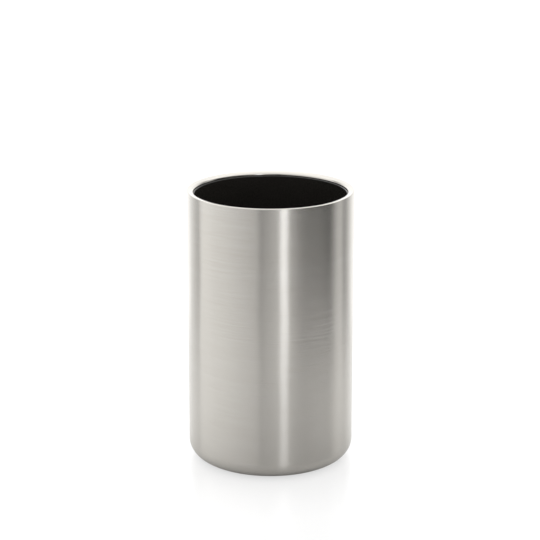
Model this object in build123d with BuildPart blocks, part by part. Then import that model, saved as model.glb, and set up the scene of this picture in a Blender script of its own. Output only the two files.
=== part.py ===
from build123d import *
from math import atan, cos, sin
import os

# Double-wall bottle cooler in stainless steel: a brushed outer shell and a coated
# inner liner, both thin sheet, joined by a seam weld inside the mouth, with sealed
# air between them. The base is closed by a pressed plate and stands on a soft pad.
# Millimetres, +Z up, origin on the axis at the surface that the cooler stands on.

# Overall sizes
height = 200.0            # standing surface to the top of the rim
body_diameter = 120.0     # outside of the shell wall
wall_width = 5.0          # outside of the shell to the inside of the mouth
base_corner = 12.0        # outside radius from the wall to the base

# Sheet thicknesses
shell_sheet = 0.6
liner_sheet = 0.5
plate_sheet = 0.6

# Rim: the shell's top edge bends tightly inwards, falls a little, and turns down into the mouth
rim_edge = 0.8            # outside radius of the tight bend at the top of the wall
rim_bend = 2.0            # outside radius of the round bend into the mouth
rim_fall = 1.0            # how far the top falls over the width of the wall
rim_land = 0.4            # straight strip between the round bend and the seam weld
rim_seam_height = 0.7     # weld bead, from the liner's edge up the rim's inner face
rim_lap = 3.0             # how far the turned-down edge reaches below the liner's edge
lap_clearance = 0.05      # radial gap that lets the liner slide into the turned-down edge

# Liner floor
liner_corner = 12.0       # outside radius from the liner's wall to its floor
floor_gap = 6.8           # air between the base plate and the underside of the liner

# Base: the shell turns in to a flat ring, and the dished plate lies on it from above
standing_ring = 4.0       # width of the shell's flat ring inside its corner
flange_clearance = 1.0    # from the plate's edge to where the shell's corner begins
base_seam_leg = 0.5       # weld bead between the ring's edge and the plate
seam_to_dish = 1.0        # flat strip of plate between the weld bead and the dish
dish_depth = 1.5          # how far the plate is pressed up inside the ring
dish_slope = 1.5          # radial run of the pressed step
plate_bend = 1.2          # radius of the bends at the step

# Pad and vent
pad_proud = 0.5           # how far the pad stands below the steel
pad_clearance = 1.0       # radial gap between the pad and the pressed step
pad_edge = 0.5            # rounding of the pad's lower edge
vent_diameter = 3.0       # hole that let the hot air out during welding
plug_dome = 0.5           # how far the vent's plug stands above the plate

# Radii and levels that follow from those sizes
body_radius = body_diameter / 2
mouth_radius = body_radius - wall_width
liner_radius = mouth_radius - lap_clearance
bore_radius = liner_radius - liner_sheet
ring_radius = body_radius - base_corner
opening_radius = ring_radius - standing_ring
flange_radius = ring_radius - flange_clearance
dish_outer_radius = opening_radius - base_seam_leg - seam_to_dish
dish_inner_radius = dish_outer_radius - dish_slope
pad_radius = dish_inner_radius - pad_clearance

shell_bottom = pad_proud
flange_level = shell_bottom + shell_sheet
dish_level = flange_level + dish_depth
plate_top = dish_level + plate_sheet
liner_bottom = plate_top + floor_gap

rim_slope = atan(rim_fall / wall_width)
rim_top_outer = body_radius - rim_edge * (1 + sin(rim_slope))
rim_top_inner = mouth_radius + rim_bend * (1 - sin(rim_slope))
rim_top_start = height - rim_edge * (1 - cos(rim_slope))
rim_top_end = rim_top_start - (rim_top_outer - rim_top_inner) * rim_fall / wall_width
rim_spring = rim_top_end - rim_bend * cos(rim_slope)
rim_seam_top = rim_spring - rim_land
liner_top = rim_seam_top - rim_seam_height
rim_end = liner_top - rim_lap

up = (0, 1)
outwards = (1, 0)


# Outer shell: one sheet from the standing ring, round the corner, up the wall, over
# the rim and down inside the mouth. The line is its outer face.
with BuildPart() as outer_shell:
    with BuildSketch(Plane.XZ):
        with BuildLine():
            ring = Line((opening_radius, shell_bottom), (ring_radius, shell_bottom))
            corner_end = (body_radius, shell_bottom + base_corner)
            corner = TangentArc(ring @ 1, corner_end, tangent=outwards)
            wall = Line(corner @ 1, (body_radius, height - rim_edge))
            edge = TangentArc(wall @ 1, (rim_top_outer, rim_top_start), tangent=up)
            top = Line(edge @ 1, (rim_top_inner, rim_top_end))
            bend = TangentArc(top @ 1, (mouth_radius, rim_spring), tangent=top % 1)
            Line(bend @ 1, (mouth_radius, rim_end))
            offset(amount=shell_sheet, side=Side.LEFT)
        make_face()
    revolve(axis=Axis.Z)

# Inner liner: a drawn cup, open at the top, whose edge sits inside the turned-down rim.
with BuildPart() as inner_liner:
    with BuildSketch(Plane.XZ):
        with BuildLine():
            floor = Line((0, liner_bottom), (liner_radius - liner_corner, liner_bottom))
            corner_end = (liner_radius, liner_bottom + liner_corner)
            corner = TangentArc(floor @ 1, corner_end, tangent=outwards)
            Line(corner @ 1, (liner_radius, liner_top))
            offset(amount=liner_sheet, side=Side.LEFT)
        make_face()
    revolve(axis=Axis.Z)

# Rim seam: the weld bead that slopes from the rim's inner face to the liner's top edge.
with BuildPart() as rim_seam:
    with BuildSketch(Plane.XZ):
        with BuildLine():
            Polyline(
                (mouth_radius, rim_seam_top),
                (mouth_radius, liner_top),
                (bore_radius, liner_top),
                close=True,
            )
        make_face()
    revolve(axis=Axis.Z)

# Base plate: its flange lies on the shell's ring, and its middle is dished upwards.
# The vent goes through its centre.
with BuildPart() as base_plate:
    with BuildSketch(Plane.XZ):
        with BuildLine():
            FilletPolyline(
                (0, dish_level),
                (dish_inner_radius, dish_level),
                (dish_outer_radius, flange_level),
                (flange_radius, flange_level),
                radius=plate_bend,
            )
            offset(amount=plate_sheet, side=Side.LEFT)
        make_face()
    revolve(axis=Axis.Z)
    with Locations((0, 0, plate_top)):
        Hole(radius=vent_diameter / 2)

# Base seam: the weld bead in the corner under the plate, ground to a flat 45 degree face.
with BuildPart() as base_seam:
    with BuildSketch(Plane.XZ):
        with BuildLine():
            Polyline(
                (opening_radius - base_seam_leg, flange_level),
                (opening_radius, flange_level),
                (opening_radius, flange_level - base_seam_leg),
                close=True,
            )
        make_face()
    revolve(axis=Axis.Z)

# Vent plug: fills the vent flush with the plate's underside and domes above it.
with BuildPart() as vent_plug:
    with BuildSketch(Plane.XY.offset(dish_level)):
        Circle(vent_diameter / 2)
    extrude(amount=plate_sheet + plug_dome)
    fillet(vent_plug.edges().sort_by(Axis.Z)[-1], radius=plug_dome)

# Base pad: a soft disc bonded into the dish, the only piece that meets the table.
with BuildPart() as base_pad:
    with BuildSketch():
        Circle(pad_radius)
    extrude(amount=dish_level)
    fillet(base_pad.edges().sort_by(Axis.Z)[0], radius=pad_edge)


os.makedirs("parts", exist_ok=True)
pieces = {
    "outer_shell": outer_shell,
    "inner_liner": inner_liner,
    "rim_seam": rim_seam,
    "base_plate": base_plate,
    "base_seam": base_seam,
    "vent_plug": vent_plug,
    "base_pad": base_pad,
}
for name, piece in pieces.items():
    piece.part.label = name
    export_step(piece.part, f"parts/{name}.step")
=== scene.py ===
"""Bottle cooler: the finished surfaces of a double-wall stainless steel cooler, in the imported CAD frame.

The file is laid out as an add-on: sizes and finishes that a user would change are properties, each piece
or group of like pieces has an operator, and a panel lists them. It is run as a script.
Metres, +Z up, with the cooler's axis on Z and its pad on the plane z = 0.
"""

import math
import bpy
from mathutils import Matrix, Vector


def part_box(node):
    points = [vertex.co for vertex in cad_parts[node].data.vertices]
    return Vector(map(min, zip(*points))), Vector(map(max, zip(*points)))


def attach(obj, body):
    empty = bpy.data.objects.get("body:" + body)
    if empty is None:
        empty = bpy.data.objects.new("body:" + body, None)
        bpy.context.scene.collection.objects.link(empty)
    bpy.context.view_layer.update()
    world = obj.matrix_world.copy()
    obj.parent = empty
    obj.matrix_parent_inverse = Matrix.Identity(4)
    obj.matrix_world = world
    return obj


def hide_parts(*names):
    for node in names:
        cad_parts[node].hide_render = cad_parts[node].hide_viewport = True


bl_info = {
    "name": "Bottle Cooler",
    "version": (1, 0, 0),
    "blender": (4, 5, 0),
    "location": "3D View > Sidebar > Bottle Cooler",
    "description": "Builds a double-wall stainless steel bottle cooler and its studio",
    "category": "Object",
}

import bmesh
import bpy
import numpy as np

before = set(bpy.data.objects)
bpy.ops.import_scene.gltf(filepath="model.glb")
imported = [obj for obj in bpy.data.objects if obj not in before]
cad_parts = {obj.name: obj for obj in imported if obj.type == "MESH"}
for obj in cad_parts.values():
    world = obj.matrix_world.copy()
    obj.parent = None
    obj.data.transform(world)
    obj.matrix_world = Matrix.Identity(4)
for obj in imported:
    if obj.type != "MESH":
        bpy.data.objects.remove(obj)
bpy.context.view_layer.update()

MM = 0.001
CLOSE = 1e-7  # points nearer than this are one point


def span(node):
    """A CAD node's width, lowest level and highest level, to a hundredth of a millimetre."""
    low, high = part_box(node)
    return round(high.x - low.x, 4), round(low.z, 5), round(high.z, 5)


SHELL_WIDTH, SHELL_LOW, SHELL_HIGH = span("outer_shell")
LINER_WIDTH, LINER_LOW, LINER_HIGH = span("inner_liner")
PLATE_WIDTH, PLATE_LOW, PLATE_HIGH = span("base_plate")
_, _, RIM_SEAM_HIGH = span("rim_seam")
BASE_SEAM_WIDTH, BASE_SEAM_LOW, _ = span("base_seam")
PLUG_WIDTH, PLUG_LOW, PLUG_HIGH = span("vent_plug")
PAD_WIDTH, PAD_LOW, PAD_HIGH = span("base_pad")


def linear(hex_colour):
    """An sRGB hex colour such as "#C8C4BE" as linear red, green and blue."""
    srgb = np.array([int(hex_colour[i : i + 2], 16) for i in (1, 3, 5)]) / 255
    return tuple(np.where(srgb <= 0.04045, srgb / 12.92, ((srgb + 0.055) / 1.055) ** 2.4))


def length(name, description, default):
    """A size property in metres."""
    return bpy.props.FloatProperty(
        name=name, description=description, default=default, min=0.0, precision=5, unit="LENGTH"
    )


def tint(name, description, hex_colour):
    """A colour property, given as sRGB hex."""
    return bpy.props.FloatVectorProperty(
        name=name,
        description=description,
        default=linear(hex_colour),
        min=0.0,
        max=1.0,
        size=3,
        subtype="COLOR",
    )


class CoolerSizes(bpy.types.PropertyGroup):
    """Sizes of the cooler, with the CAD model's own values as defaults."""

    height: length("Height", "Table to the top of the rim", SHELL_HIGH)
    body_diameter: length("Body diameter", "Outside of the shell wall", SHELL_WIDTH)
    wall_width: length("Wall width", "Outside of the shell to the inside of the rim", 5 * MM)
    base_corner: length("Base corner", "Outside radius from the wall to the base", 12 * MM)
    shell_sheet: length("Shell sheet", "Thickness of the shell's sheet", 0.6 * MM)
    liner_sheet: length("Liner sheet", "Thickness of the liner's sheet", 0.5 * MM)
    plate_sheet: length("Plate sheet", "Thickness of the base plate's sheet", 0.6 * MM)
    liner_corner: length("Liner corner", "Outside radius from the liner's wall to its floor", 12 * MM)
    rim_edge: length("Rim edge", "Outside radius of the tight bend at the top of the wall", 0.8 * MM)
    rim_bend: length("Rim bend", "Outside radius of the round bend into the mouth", 2 * MM)
    rim_fall: length("Rim fall", "Fall of the rim's top over the width of the wall", 1 * MM)
    rim_lap: length("Rim lap", "Turned-down edge of the rim below the liner's edge", 3 * MM)
    dish_slope: length("Dish slope", "Width of the pressed step in the base plate", 1.5 * MM)
    plate_bend: length("Plate bend", "Radius of the bends in the base plate", 1.2 * MM)
    flat_strip: length("Flat strip", "Base plate between its seam and the pressed step", 1.0 * MM)
    pad_edge: length("Pad edge", "Rounding of the pad's lower edge", 0.5 * MM)
    planishing: length("Planishing", "Height of the wall's long shallow waves", 0.02 * MM)


class CoolerFinishes(bpy.types.PropertyGroup):
    """Colours and grain of the cooler's finishes."""

    steel: tint("Steel", "Stainless steel, polished", "#CFCCC6")
    steel_shade: tint("Steel shade", "Stainless steel in the grooves of the grain", "#CAC6BF")
    coating: tint("Coating", "Gloss coating inside the liner", "#1B1A18")
    coating_dull: tint("Coating, dull", "Slightly duller patches of the coating", "#24221F")
    foam: tint("Foam", "Foam rubber of the base pad", "#1D1C1B")
    foam_cell: tint("Foam cell", "Cut cells of the foam rubber", "#2C2B29")
    grain_pitch: length("Grain pitch", "Spacing of the brushed lines as drawn", 0.7 * MM)
    grain_length: length("Grain length", "Length of one brushed line", 32 * MM)


# Surfaces ---------------------------------------------------------------------------------------


def bent_line(corners, radii, offset=0.0, steps=16):
    """A line of straight runs with round bends, moved to its left by an offset.

    Each bend starts its radius times the tangent of half the turn before the corner. A point on it is
    the bend's centre plus an arm as long as the radius, less the offset on a left turn and plus it on
    a right turn, swung through the turn in even steps.
    """
    corners = np.array(corners, float)
    runs = np.diff(corners, axis=0)
    runs /= np.linalg.norm(runs, axis=1)[:, None]
    left = np.stack([-runs[:, 1], runs[:, 0]], axis=1)
    parts = [corners[:1] + offset * left[:1]]
    for k, radius in enumerate(radii):
        before, after = runs[k], runs[k + 1]
        turn = math.atan2(before[0] * after[1] - before[1] * after[0], before @ after)
        side = math.copysign(1, turn)
        start = corners[k + 1] - before * radius * math.tan(abs(turn) / 2)
        centre = start + side * radius * left[k]
        arm = (offset - side * radius) * left[k]
        swing = turn * np.linspace(0, 1, steps + 1)
        turned_x = arm[0] * np.cos(swing) - arm[1] * np.sin(swing)
        turned_y = arm[0] * np.sin(swing) + arm[1] * np.cos(swing)
        parts.append(centre + np.stack([turned_x, turned_y], axis=1))
    parts.append(corners[-1:] + offset * left[-1:])
    line = np.concatenate(parts)
    apart = np.linalg.norm(np.diff(line, axis=0), axis=1) > CLOSE
    return line[np.concatenate([[True], apart])]


def spread(line, pitch):
    """The same line with more points, at most a pitch apart along it, found by interpolating its length."""
    along = np.concatenate([[0], np.cumsum(np.linalg.norm(np.diff(line, axis=0), axis=1))])
    stops = np.union1d(along, np.arange(pitch / 2, along[-1] - pitch / 2, pitch))
    keep = np.concatenate([[True], np.diff(stops) > pitch / 20])
    stops = stops[keep | np.isin(stops, along)]
    return np.stack([np.interp(stops, along, line[:, 0]), np.interp(stops, along, line[:, 1])], axis=1)


def sheet_section(corners, radii, sheet, pitch, steps=16):
    """A sheet's section: its outer face as a bent line, and the same line set off to the left by the
    sheet's thickness and walked back."""
    face = spread(bent_line(corners, radii, 0.0, steps), pitch)
    back = spread(bent_line(corners, radii, sheet, steps), pitch)
    return np.concatenate([face, back[::-1]])


def turned(name, section, turns, swell=None):
    """A surface of revolution. The point at step i of the section and turn j is
    (r_i cos a_j, r_i sin a_j, z_i), where a_j is j turns' share of the full circle and r_i is moved by
    the swell, a function of angle and height. A section that ends on the axis gets closed poles, and
    any other joins its last ring to its first.
    """
    angle = np.linspace(0, 2 * math.pi, turns, endpoint=False)[None, :]
    radius, level = section[:, :1], section[:, 1:] + 0 * angle
    if swell:
        radius = radius + swell(angle, level)
    points = np.stack([radius * np.cos(angle), radius * np.sin(angle), level], axis=-1)
    ring = np.arange(section.shape[0] * turns).reshape(-1, turns)
    quads = np.stack(
        [ring, np.roll(ring, -1, 1), np.roll(np.roll(ring, -1, 1), -1, 0), np.roll(ring, -1, 0)], axis=-1
    )
    on_axis = section[0, 0] < CLOSE
    if on_axis:
        quads = quads[:-1]
    mesh = bpy.data.meshes.new(name)
    mesh.from_pydata(points.reshape(-1, 3), [], quads.reshape(-1, 4))
    if on_axis:
        shape = bmesh.new()
        shape.from_mesh(mesh)
        bmesh.ops.remove_doubles(shape, verts=shape.verts, dist=CLOSE)
        shape.to_mesh(mesh)
        shape.free()
    mesh.shade_smooth()
    mesh.set_sharp_from_angle(angle=math.radians(40))
    mesh.validate()
    return mesh


def place(name, mesh, node, slot, *materials):
    """Put a finished mesh in the scene in place of its CAD node, riding on the cooler's one body."""
    piece = bpy.data.objects.new(name, mesh)
    bpy.context.scene.collection.objects.link(piece)
    for material in materials:
        mesh.materials.append(material)
    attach(piece, "root")
    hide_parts(node)
    if not mesh.polygons:
        raise RuntimeError(f"{name} has no faces")


# Materials --------------------------------------------------------------------------------------


def add(tree, kind, inputs=None, output=None, **settings):
    """Add one node and return the output asked for, or the first one that is in use.

    Settings are set by name. An input is named, or numbered where names repeat: a socket given for it
    is linked, and anything else is its value.
    """
    node = tree.nodes.new(kind)
    for name, value in settings.items():
        setattr(node, name, value)
    in_use = {socket.name: socket for socket in reversed(node.inputs) if socket.enabled}
    for name, value in (inputs or {}).items():
        socket = node.inputs[name] if isinstance(name, int) else in_use[name]
        if isinstance(value, bpy.types.NodeSocket):
            tree.links.new(value, socket)
        else:
            socket.default_value = value
    return node.outputs[output] if output else next((out for out in node.outputs if out.enabled), None)


def new_material(name):
    """A material with an empty tree, and the coordinates of the piece that it is on."""
    material = bpy.data.materials.new(name)
    material.use_nodes = True
    material.node_tree.nodes.clear()
    return material, material.node_tree, add(material.node_tree, "ShaderNodeTexCoord", output="Object")


def brushed_stainless(look):
    """Austenitic stainless sheet, brushed round the body with an abrasive belt.

    The grooves run round the wall, so light spreads along the axis and stays tight across it, and the
    room shows as upright bands. Grooves are about 0.1 mm apart on such sheet. That is too fine to show,
    so they are drawn at the grain pitch, and as deep as they need to be there. The belt's passes shade
    the wall in wider and longer streaks.
    """
    material, tree, coords = new_material("brushed_stainless")
    pass_length, pass_width = look.grain_length / 0.3, 18 * look.grain_pitch
    groove = (1 / look.grain_length, 1 / look.grain_length, 1 / look.grain_pitch)
    streak = (1 / pass_length, 1 / pass_length, 1 / pass_width)
    along_groove = add(tree, "ShaderNodeMapping", {"Vector": coords, "Scale": groove})
    along_streak = add(tree, "ShaderNodeMapping", {"Vector": coords, "Scale": streak})
    grain = add(tree, "ShaderNodeTexNoise", {"Vector": along_groove, "Scale": 1.0, "Detail": 4.0})
    passes = add(tree, "ShaderNodeTexNoise", {"Vector": along_streak, "Scale": 1.0, "Detail": 3.0})
    cloud = add(tree, "ShaderNodeTexNoise", {"Vector": coords, "Scale": 1 / (35 * MM)})
    both = add(tree, "ShaderNodeMath", {0: passes, 1: 0.5, 2: grain}, operation="MULTIPLY_ADD")
    shade = add(tree, "ShaderNodeMapRange", {"Value": both, "From Min": 0.5, "From Max": 1.0})
    worn = add(tree, "ShaderNodeMath", {0: cloud, 1: 0.5, 2: grain}, operation="MULTIPLY_ADD")
    rough = {"Value": worn, "From Min": 0.5, "From Max": 1.0, "To Min": 0.25, "To Max": 0.27}
    steels = {"Factor": shade, "A": (*look.steel_shade, 1.0), "B": (*look.steel, 1.0)}
    grooves = {"Height": grain, "Strength": 1.0, "Distance": 0.07 * MM}
    shader = add(tree, "ShaderNodeBsdfPrincipled", {
        "Base Color": add(tree, "ShaderNodeMix", steels, data_type="RGBA"),
        "Metallic": 1.0,
        "Roughness": add(tree, "ShaderNodeMapRange", rough),
        "Anisotropic": 1.0,
        "Anisotropic Rotation": 0.25,
        "Tangent": add(tree, "ShaderNodeTangent", direction_type="RADIAL", axis="Z"),
        "Normal": add(tree, "ShaderNodeBump", grooves),
    })
    add(tree, "ShaderNodeOutputMaterial", {"Surface": shader})
    return material


def polished_stainless(look):
    """The same sheet, bent inwards at the rim and buffed on a wheel.

    It is close to a mirror, with a slight haze and faint lines left round the rim by the wheel.
    """
    material, tree, coords = new_material("polished_stainless")
    round_rim = (1 / (60 * MM), 1 / (60 * MM), 1 / (0.3 * MM))
    along = add(tree, "ShaderNodeMapping", {"Vector": coords, "Scale": round_rim})
    lines = add(tree, "ShaderNodeTexNoise", {"Vector": along, "Scale": 1.0, "Detail": 3.0})
    haze = add(tree, "ShaderNodeTexNoise", {"Vector": coords, "Scale": 1 / (12 * MM)})
    rough = {"Value": haze, "From Min": 0.3, "From Max": 0.7, "To Min": 0.10, "To Max": 0.17}
    steels = {"Factor": lines, "A": (*look.steel_shade, 1.0), "B": (*look.steel, 1.0)}
    shader = add(tree, "ShaderNodeBsdfPrincipled", {
        "Base Color": add(tree, "ShaderNodeMix", steels, data_type="RGBA"),
        "Metallic": 1.0,
        "Roughness": add(tree, "ShaderNodeMapRange", rough),
        "Normal": add(tree, "ShaderNodeBump", {"Height": lines, "Strength": 0.06, "Distance": 0.01 * MM}),
    })
    add(tree, "ShaderNodeOutputMaterial", {"Surface": shader})
    return material


def ground_weld(look):
    """Stainless weld bead, ground and wire brushed.

    It is bright, with the weld pool's ripples across the bead and the brush's scratches along it.
    """
    material, tree, coords = new_material("ground_weld")
    brush = (1 / (4 * MM), 1 / (4 * MM), 1 / (0.15 * MM))
    along = add(tree, "ShaderNodeMapping", {"Vector": coords, "Scale": brush})
    scratches = add(tree, "ShaderNodeTexNoise", {"Vector": along, "Scale": 1.0, "Detail": 3.0})
    ripples = add(tree, "ShaderNodeTexNoise", {"Vector": coords, "Scale": 1 / (1.2 * MM)})
    relief = add(tree, "ShaderNodeMath", {0: scratches, 1: 0.4, 2: ripples}, operation="MULTIPLY_ADD")
    rough = {"Value": scratches, "From Min": 0.3, "From Max": 0.7, "To Min": 0.18, "To Max": 0.30}
    steels = {"Factor": ripples, "A": (*look.steel_shade, 1.0), "B": (*look.steel, 1.0)}
    shader = add(tree, "ShaderNodeBsdfPrincipled", {
        "Base Color": add(tree, "ShaderNodeMix", steels, data_type="RGBA"),
        "Metallic": 1.0,
        "Roughness": add(tree, "ShaderNodeMapRange", rough),
        "Normal": add(tree, "ShaderNodeBump", {"Height": relief, "Strength": 0.25, "Distance": 0.05 * MM}),
    })
    add(tree, "ShaderNodeOutputMaterial", {"Surface": shader})
    return material


def gloss_black_coating(look):
    """Black baking enamel sprayed inside the liner.

    It is near black and glossy, with the orange peel and the slightly duller patches of sprayed paint.
    """
    material, tree, coords = new_material("gloss_black_coating")
    peel = add(tree, "ShaderNodeTexNoise", {"Vector": coords, "Scale": 1 / (2.2 * MM), "Detail": 1.0})
    patches = add(tree, "ShaderNodeTexNoise", {"Vector": coords, "Scale": 1 / (30 * MM), "Detail": 3.0})
    rough = {"Value": patches, "From Min": 0.3, "From Max": 0.7, "To Min": 0.14, "To Max": 0.22}
    blacks = {"Factor": patches, "A": (*look.coating, 1.0), "B": (*look.coating_dull, 1.0)}
    shader = add(tree, "ShaderNodeBsdfPrincipled", {
        "Base Color": add(tree, "ShaderNodeMix", blacks, data_type="RGBA"),
        "Roughness": add(tree, "ShaderNodeMapRange", rough),
        "IOR": 1.5,
        "Normal": add(tree, "ShaderNodeBump", {"Height": peel, "Strength": 0.15, "Distance": 0.03 * MM}),
    })
    add(tree, "ShaderNodeOutputMaterial", {"Surface": shader})
    return material


def mill_finish_stainless(look):
    """Stainless sheet left as it came from the rolling mill, then pressed.

    It is a duller grey than the brushed wall, mottled, with rolling lines straight across it.
    """
    material, tree, coords = new_material("mill_finish_stainless")
    rolled = (1 / (0.4 * MM), 1 / (50 * MM), 1 / (50 * MM))
    along = add(tree, "ShaderNodeMapping", {"Vector": coords, "Scale": rolled})
    rolling = add(tree, "ShaderNodeTexNoise", {"Vector": along, "Scale": 1.0, "Detail": 3.0})
    mottle = add(tree, "ShaderNodeTexNoise", {"Vector": coords, "Scale": 1 / (6 * MM), "Detail": 4.0})
    rough = {"Value": mottle, "From Min": 0.3, "From Max": 0.7, "To Min": 0.34, "To Max": 0.46}
    steels = {"Factor": mottle, "A": (*look.steel_shade, 1.0), "B": (*look.steel, 1.0)}
    shader = add(tree, "ShaderNodeBsdfPrincipled", {
        "Base Color": add(tree, "ShaderNodeMix", steels, data_type="RGBA"),
        "Metallic": 1.0,
        "Roughness": add(tree, "ShaderNodeMapRange", rough),
        "Normal": add(tree, "ShaderNodeBump", {"Height": rolling, "Strength": 0.15, "Distance": 0.02 * MM}),
    })
    add(tree, "ShaderNodeOutputMaterial", {"Surface": shader})
    return material


def foam_rubber(look):
    """Closed-cell foam rubber, split from a block.

    It is matt and black, and the cut cells, about half a millimetre across, speckle it.
    """
    material, tree, coords = new_material("foam_rubber")
    cells = add(tree, "ShaderNodeTexVoronoi", {"Vector": coords, "Scale": 1 / (0.5 * MM)})
    worn = add(tree, "ShaderNodeTexNoise", {"Vector": coords, "Scale": 1 / (15 * MM), "Detail": 3.0})
    rough = {"Value": worn, "From Min": 0.3, "From Max": 0.7, "To Min": 0.75, "To Max": 0.9}
    blacks = {"Factor": cells, "A": (*look.foam, 1.0), "B": (*look.foam_cell, 1.0)}
    shader = add(tree, "ShaderNodeBsdfPrincipled", {
        "Base Color": add(tree, "ShaderNodeMix", blacks, data_type="RGBA"),
        "Roughness": add(tree, "ShaderNodeMapRange", rough),
        "Normal": add(tree, "ShaderNodeBump", {"Height": cells, "Strength": 0.5, "Distance": 0.1 * MM}),
    })
    add(tree, "ShaderNodeOutputMaterial", {"Surface": shader})
    return material


def opal_acrylic():
    """Opal acrylic sheet lit from below, the shooting table.

    It is white and nearly without shadow, brighter away from the middle, with a soft faint reflection. The
    dimmer glow in the middle is painted shade round the cooler's foot.
    """
    material, tree, coords = new_material("opal_acrylic")
    haze = add(tree, "ShaderNodeTexNoise", {"Vector": coords, "Scale": 1 / (90 * MM)})
    rough = {"Value": haze, "From Min": 0.3, "From Max": 0.7, "To Min": 0.20, "To Max": 0.22}
    away = add(tree, "ShaderNodeVectorMath", {0: coords}, output="Value", operation="LENGTH")
    # The glow is weaker within 125 mm of the axis: painted shade round the cooler's foot.
    glow_dimmed_at_foot = {"Value": away, "From Min": 70 * MM, "From Max": 125 * MM, "To Min": 0.65, "To Max": 0.70}
    shader = add(tree, "ShaderNodeBsdfPrincipled", {
        "Base Color": (*linear("#8C8C8C"), 1.0),
        "Roughness": add(tree, "ShaderNodeMapRange", rough),
        "IOR": 1.49,
        "Emission Color": (1.0, 1.0, 1.0, 1.0),
        "Emission Strength": add(tree, "ShaderNodeMapRange", glow_dimmed_at_foot),
    })
    add(tree, "ShaderNodeOutputMaterial", {"Surface": shader})
    return material


def white_card():
    """White card under the cooler, with a slight sheen: what the steel sees below it.

    Its colour is painted greyer in front of the foot, a painted shade for the light that the camera and its
    stand keep off it.
    """
    material, tree, coords = new_material("white_card")
    fibre = add(tree, "ShaderNodeTexNoise", {"Vector": coords, "Scale": 1 / (2 * MM)})
    # The painted shade is deepest here, in front of the foot, and fades to the card's white over 190 mm.
    shade = (10 * MM, -100 * MM, 0.0)
    away = add(tree, "ShaderNodeVectorMath", {0: coords, 1: shade}, output="Value", operation="DISTANCE")
    mixed = add(tree, "ShaderNodeMath", {0: fibre, 1: 4 * MM, 2: away}, operation="MULTIPLY_ADD")
    clear = add(tree, "ShaderNodeMapRange", {"Value": mixed, "From Min": 0.0, "From Max": 190 * MM})
    # A is the grey of the painted shade, B the card's own white.
    white_and_painted_grey = {"Factor": clear, "A": (*linear("#B3B3B3"), 1.0), "B": (*linear("#F3F3F3"), 1.0)}
    shader = add(tree, "ShaderNodeBsdfPrincipled", {
        "Base Color": add(tree, "ShaderNodeMix", white_and_painted_grey, data_type="RGBA"),
        "Roughness": 0.2,
    })
    add(tree, "ShaderNodeOutputMaterial", {"Surface": shader})
    return material


# Operators --------------------------------------------------------------------------------------


class COOLER_OT_outer_shell(bpy.types.Operator):
    """Make the brushed outer shell with its polished rim, bent inwards and down into the mouth"""

    bl_idname = "cooler.outer_shell"
    bl_label = "Outer Shell"

    def execute(self, context):
        sizes, look = context.scene.cooler_sizes, context.scene.cooler_finishes
        body = sizes.body_diameter / 2
        mouth = body - sizes.wall_width
        corner_top = SHELL_LOW + sizes.base_corner
        # The top falls inwards, so its line meets the wall's line a little above the bend's highest point.
        fall = math.atan(sizes.rim_fall / sizes.wall_width)
        crest = sizes.height + sizes.rim_edge * (math.tan(fall) + 1 / math.cos(fall) - 1)
        corners = [
            (BASE_SEAM_WIDTH / 2, SHELL_LOW),
            (body, SHELL_LOW),
            (body, crest),
            (mouth, crest - sizes.rim_fall),
            (mouth, LINER_HIGH - sizes.rim_lap),
        ]
        radii = [sizes.base_corner, sizes.rim_edge, sizes.rim_bend]
        section = sheet_section(corners, radii, sizes.shell_sheet, pitch=4 * MM, steps=18)

        def planished(angle, level):
            """Three long waves aslant on the wall: the sine of so many times the angle, plus a slant times
            the share of the wall's height, plus a start. They fade out at the corner and the rim."""
            share = np.clip((level - corner_top) / (sizes.height - sizes.rim_bend - corner_top), 0, 1)
            waves = [(5, 9, 0.0), (8, -6, 1.3), (13, 14, 4.1)]
            total = sum(np.sin(times * angle + slant * share + start) for times, slant, start in waves)
            return sizes.planishing * total * np.sin(math.pi * share)

        mesh = turned("shell_sheet", section, turns=360, swell=planished)
        finishes = brushed_stainless(look), polished_stainless(look)
        place("shell_sheet", mesh, "outer_shell", "brushed_shell", *finishes)
        centres = np.zeros(len(mesh.polygons) * 3)
        mesh.polygons.foreach_get("center", centres)
        across, level = np.hypot(centres[0::3], centres[1::3]), centres[2::3]
        # The wheel buffs the turned-down rim and the upper part of the tight bend.
        turned_down = (across < mouth + 2 * sizes.shell_sheet) & (level > sizes.height / 2)
        buffed = turned_down | (level > sizes.height - 0.4 * sizes.rim_edge)
        mesh.polygons.foreach_set("material_index", buffed.astype(np.int32))
        return {"FINISHED"}


class COOLER_OT_inner_liner(bpy.types.Operator):
    """Make the coated inner liner, a drawn cup with a flat floor"""

    bl_idname = "cooler.inner_liner"
    bl_label = "Inner Liner"

    def execute(self, context):
        sizes, look = context.scene.cooler_sizes, context.scene.cooler_finishes
        outside = LINER_WIDTH / 2
        corners = [(0.0, LINER_LOW), (outside, LINER_LOW), (outside, LINER_HIGH)]
        section = sheet_section(corners, [sizes.liner_corner], sizes.liner_sheet, pitch=5 * MM)
        mesh = turned("liner_cup", section, turns=240)
        place("liner_cup", mesh, "inner_liner", "liner_coating", gloss_black_coating(look))
        return {"FINISHED"}


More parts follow.
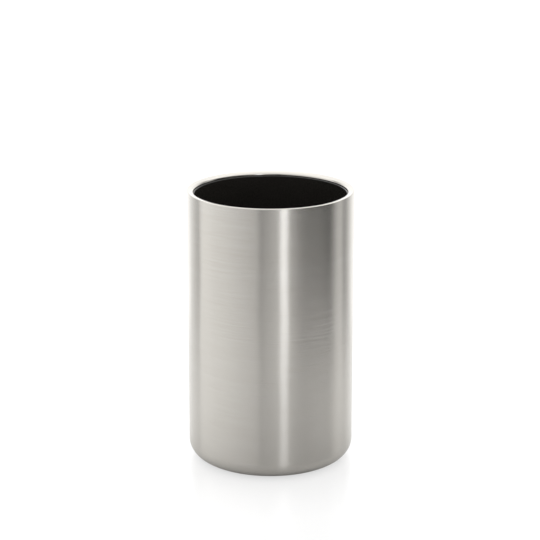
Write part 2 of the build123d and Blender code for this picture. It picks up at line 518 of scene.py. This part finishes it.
class COOLER_OT_welds(bpy.types.Operator):
    """Make the rim seam, the base seam and the vent plug"""

    bl_idname = "cooler.welds"
    bl_label = "Welds"

    def execute(self, context):
        sizes, look = context.scene.cooler_sizes, context.scene.cooler_finishes
        weld = ground_weld(look)
        mouth = sizes.body_diameter / 2 - sizes.wall_width
        bore = LINER_WIDTH / 2 - sizes.liner_sheet
        quarter = np.linspace(0, math.pi / 2, 9)

        def rippled(angle, level):
            """Ripples of the weld pool along the rim seam: a sine as many times round as the ripples'
            spacing goes into the bore, times a slow sine that makes them come and go."""
            spacing, height = 1.2 * MM, 0.012 * MM
            count = round(2 * math.pi * bore / spacing)
            return height * np.sin(count * angle) * np.sin(7 * angle + 0.6)

        # The crown is a quarter of an ellipse from the liner's edge up to the rim's inner face.
        crown_r = mouth - (mouth - bore) * np.cos(quarter)
        crown_z = LINER_HIGH + (RIM_SEAM_HIGH - LINER_HIGH) * np.sin(quarter)
        section = np.concatenate([np.stack([crown_r, crown_z], axis=1), [(mouth, LINER_HIGH)]])
        mesh = turned("rim_weld", section, turns=1440, swell=rippled)
        # The coating is sprayed over the liner and this seam in one go.
        coating = bpy.data.materials.get("gloss_black_coating") or gloss_black_coating(look)
        place("rim_weld", mesh, "rim_seam", "liner_coating", coating)

        # The base bead is a quarter of a circle between the plate and the shell's edge.
        edge, leg = BASE_SEAM_WIDTH / 2, PLATE_LOW - BASE_SEAM_LOW
        arc_r, arc_z = edge - leg * np.cos(quarter), PLATE_LOW - leg * np.sin(quarter)
        section = np.concatenate([[(edge, PLATE_LOW)], np.stack([arc_r, arc_z], axis=1)])
        place("base_weld", turned("base_weld", section, turns=720), "base_seam", "seam_steel", weld)

        # The plug is a short pin with its lower edge eased, and a rounded head above the plate.
        plug, ease, head = PLUG_WIDTH / 2, 0.1 * MM, PLUG_HIGH - PLATE_HIGH
        corners = [(0.0, PLUG_LOW), (plug, PLUG_LOW), (plug, PLUG_HIGH), (0.0, PLUG_HIGH)]
        section = bent_line(corners, [ease, head], steps=8)
        place("vent_dome", turned("vent_dome", section, turns=48), "vent_plug", "seam_steel", weld)
        return {"FINISHED"}


class COOLER_OT_base_plate(bpy.types.Operator):
    """Make the pressed base plate, dished upwards inside the shell's standing ring"""

    bl_idname = "cooler.base_plate"
    bl_label = "Base Plate"

    def execute(self, context):
        sizes, look = context.scene.cooler_sizes, context.scene.cooler_finishes
        step_outer = BASE_SEAM_WIDTH / 2 - (PLATE_LOW - BASE_SEAM_LOW) - sizes.flat_strip
        dish_level = PLATE_HIGH - sizes.plate_sheet
        corners = [
            (PLUG_WIDTH / 2, dish_level),
            (step_outer - sizes.dish_slope, dish_level),
            (step_outer, PLATE_LOW),
            (PLATE_WIDTH / 2, PLATE_LOW),
        ]
        section = sheet_section(corners, [sizes.plate_bend] * 2, sizes.plate_sheet, pitch=6 * MM, steps=8)
        mesh = turned("base_dish", section, turns=180)
        place("base_dish", mesh, "base_plate", "plate_steel", mill_finish_stainless(look))
        return {"FINISHED"}


class COOLER_OT_base_pad(bpy.types.Operator):
    """Make the foam pad that the cooler stands on"""

    bl_idname = "cooler.base_pad"
    bl_label = "Base Pad"

    def execute(self, context):
        sizes, look = context.scene.cooler_sizes, context.scene.cooler_finishes
        edge, upper_edge = PAD_WIDTH / 2, 0.15 * MM
        corners = [(0.0, PAD_LOW), (edge, PAD_LOW), (edge, PAD_HIGH), (0.0, PAD_HIGH)]
        section = spread(bent_line(corners, [sizes.pad_edge, upper_edge], steps=6), pitch=5 * MM)
        mesh = turned("foam_pad", section, turns=180)
        place("foam_pad", mesh, "base_pad", "pad_rubber", foam_rubber(look))
        return {"FINISHED"}


# Studio -----------------------------------------------------------------------------------------

# Brightness of the room's walls as polished steel sees them, by direction in degrees: 0 is towards the
# camera, and positive is to the camera's right. White paper is 1.
WALLS = [
    # The lit backdrop, from straight behind the cooler round to its left edge
    (-180, 1.45), (-150, 1.45), (-141, 1.12), (-132, 0.92), (-123, 0.74), (-114, 0.60),
    # The white panel on the left, dimmer towards the front
    (-111, 1.20), (-95, 1.15), (-84, 1.05), (-63, 0.92), (-45, 0.77), (-26, 0.61), (-18, 0.53),
    # The black flag beside the camera, which keeps the strip light out of the lens
    (-13, 0.22), (-8, 0.34),
    # The pale wall that the strip light's own glow fills
    (7, 0.54), (17, 0.75), (31, 0.38),
    # The dark side of the room
    (40, 0.17), (50, 0.08), (75, 0.08), (87, 0.02),
    # The narrow white panel on the right, and the shade behind it
    (95, 0.24), (101, 0.56), (111, 0.78), (115, 0.68), (118, 0.38), (124, 0.44),
    # The backdrop again, from its right edge
    (130, 0.64), (137, 0.90), (146, 1.27), (180, 1.45),
]
BRIGHTEST_WALL = 2.0  # a colour ramp holds brightness up to 1, so it holds shares of this
OPEN_WHITE = 1.2  # the room as the camera and matt surfaces see it
TABLE_RADIUS, CARD_RADIUS = 12.0, 0.36
CARD_DROP = 0.1 * MM  # the card lies this far below the table's face, clear of it
GROUND_DEPTH = 0.02  # thickness of the table


class COOLER_OT_studio(bpy.types.Operator):
    """Make the white table, the room's light and the camera"""

    bl_idname = "cooler.studio"
    bl_label = "Studio"

    def execute(self, context):
        scene = context.scene
        scene.view_settings.view_transform = "Standard"
        self.table()
        self.room(scene)
        self.strip_light()
        self.camera(scene)
        return {"FINISHED"}

    def table(self):
        """The lit table, out to the horizon, and the white card that the steel sees in its place.

        Past the card's edge the steel sees the room, as it would past the edge of a small table.
        """
        grounds = {
            "table": (TABLE_RADIUS, 0.0, opal_acrylic()),
            "card": (CARD_RADIUS, -CARD_DROP, white_card()),
        }
        for name, (edge, top, material) in grounds.items():
            section = np.array([(0.0, -GROUND_DEPTH), (edge, -GROUND_DEPTH), (edge, top), (0.0, top)])
            mesh = turned(name, section, turns=128)
            mesh.materials.append(material)
            ground = bpy.data.objects.new(name, mesh)
            bpy.context.scene.collection.objects.link(ground)
            ground.visible_camera = name == "table"
            ground.visible_glossy = ground.visible_diffuse = ground.visible_shadow = name == "card"

    def room(self, scene):
        """White to the eye and to matt surfaces, and the room's light and dark sides to polished ones."""
        world = bpy.data.worlds.new("studio_room")
        scene.world = world
        world.use_nodes = True
        tree = world.node_tree
        tree.nodes.clear()
        towards = add(tree, "ShaderNodeTexCoord", output="Generated")
        x, y, z = add(tree, "ShaderNodeSeparateXYZ", {"Vector": towards}).node.outputs
        front = add(tree, "ShaderNodeMath", {0: y, 1: -1.0}, operation="MULTIPLY")
        turn = add(tree, "ShaderNodeMath", {0: x, 1: front}, operation="ARCTAN2")
        around = add(tree, "ShaderNodeMapRange", {"Value": turn, "From Min": -math.pi, "From Max": math.pi})
        ramp = add(tree, "ShaderNodeValToRGB", {"Fac": around})
        stops = ramp.node.color_ramp.elements
        for k, (degrees, brightness) in enumerate(WALLS):
            stop = stops[k] if k < 2 else stops.new((degrees + 180) / 360)
            stop.position = (degrees + 180) / 360
            stop.color = (*[brightness / BRIGHTEST_WALL] * 3, 1)
        walls = add(tree, "ShaderNodeMath", {0: ramp, 1: BRIGHTEST_WALL}, operation="MULTIPLY")
        # The ceiling begins between 30 and 36 degrees up, and is brighter towards the back.
        low, high = math.sin(math.radians(30)), math.sin(math.radians(36))
        overhead = add(tree, "ShaderNodeMapRange", {"Value": z, "From Min": low, "From Max": high})
        ceiling = add(tree, "ShaderNodeMath", {0: y, 1: 0.3, 2: 1.45}, operation="MULTIPLY_ADD")
        inside = {"Factor": overhead, "A": walls, "B": ceiling}
        room = add(tree, "ShaderNodeMix", inside, data_type="FLOAT")
        polished = add(tree, "ShaderNodeLightPath", output="Is Glossy Ray")
        seen = {"Factor": polished, "A": OPEN_WHITE, "B": room}
        strength = add(tree, "ShaderNodeMix", seen, data_type="FLOAT")
        light = add(tree, "ShaderNodeBackground", {"Color": (1, 1, 1, 1), "Strength": strength})
        add(tree, "ShaderNodeOutputWorld", {"Surface": light})

    def strip_light(self):
        """A tall strip light to the camera's right, slightly cool, seen as the body's bright stripe.

        Its energy is pi times its area times the brightness that the steel sees in it.
        """
        azimuth, elevation, distance = math.radians(18.0), math.radians(2.0), 1.6
        width, height, brightness, cool_white = 0.29, 1.6, 1.05, (0.95, 0.98, 1.04)
        strip = bpy.data.lights.new("strip_light", "AREA")
        strip.shape = "RECTANGLE"
        strip.size, strip.size_y = width, height
        strip.energy = brightness * math.pi * width * height
        strip.color = cool_white
        lamp = bpy.data.objects.new("strip_light", strip)
        level = math.cos(elevation)
        away = np.array([math.sin(azimuth) * level, -math.cos(azimuth) * level, math.sin(elevation)])
        middle = np.array([0.0, 0.0, 0.1])
        lamp.location = middle + distance * away
        lamp.rotation_euler = (math.radians(90) - elevation, 0.0, azimuth)
        lamp.visible_camera = False
        bpy.context.scene.collection.objects.link(lamp)

    def camera(self, scene):
        """The eye: 1.24 m in front of the axis and 0.5 m up, looking 16 degrees down, with a long lens."""
        looks_down = math.radians(15.96)
        lens = bpy.data.cameras.new("camera")
        lens.lens, lens.sensor_width = 119.2, 36.0
        camera = bpy.data.objects.new("camera", lens)
        camera.location = (-0.0004, -1.242, 0.495)
        camera.rotation_euler = (math.radians(90) - looks_down, 0.0, 0.0)
        scene.collection.objects.link(camera)
        scene.camera = camera


class COOLER_PT_panel(bpy.types.Panel):
    """Sizes, finishes and pieces of the bottle cooler"""

    bl_idname = "COOLER_PT_panel"
    bl_label = "Bottle Cooler"
    bl_space_type = "VIEW_3D"
    bl_region_type = "UI"
    bl_category = "Bottle Cooler"

    def draw(self, context):
        for group in (context.scene.cooler_sizes, context.scene.cooler_finishes):
            box = self.layout.box()
            for name in group.__annotations__:
                box.prop(group, name)
        for operator in OPERATORS:
            self.layout.operator(operator.bl_idname)


OPERATORS = (
    COOLER_OT_outer_shell,
    COOLER_OT_inner_liner,
    COOLER_OT_welds,
    COOLER_OT_base_plate,
    COOLER_OT_base_pad,
    COOLER_OT_studio,
)
CLASSES = (CoolerSizes, CoolerFinishes, *OPERATORS, COOLER_PT_panel)


def register():
    """Register the classes and hang the two property groups on the scene."""
    for cls in CLASSES:
        bpy.utils.register_class(cls)
    bpy.types.Scene.cooler_sizes = bpy.props.PointerProperty(type=CoolerSizes)
    bpy.types.Scene.cooler_finishes = bpy.props.PointerProperty(type=CoolerFinishes)


def unregister():
    """Undo register."""
    del bpy.types.Scene.cooler_finishes
    del bpy.types.Scene.cooler_sizes
    for cls in reversed(CLASSES):
        bpy.utils.unregister_class(cls)


def main():
    """Build every piece and the studio."""
    register()
    bpy.ops.cooler.outer_shell()
    bpy.ops.cooler.inner_liner()
    bpy.ops.cooler.welds()
    bpy.ops.cooler.base_plate()
    bpy.ops.cooler.base_pad()
    bpy.ops.cooler.studio()


if __name__ == "__main__":
    main()
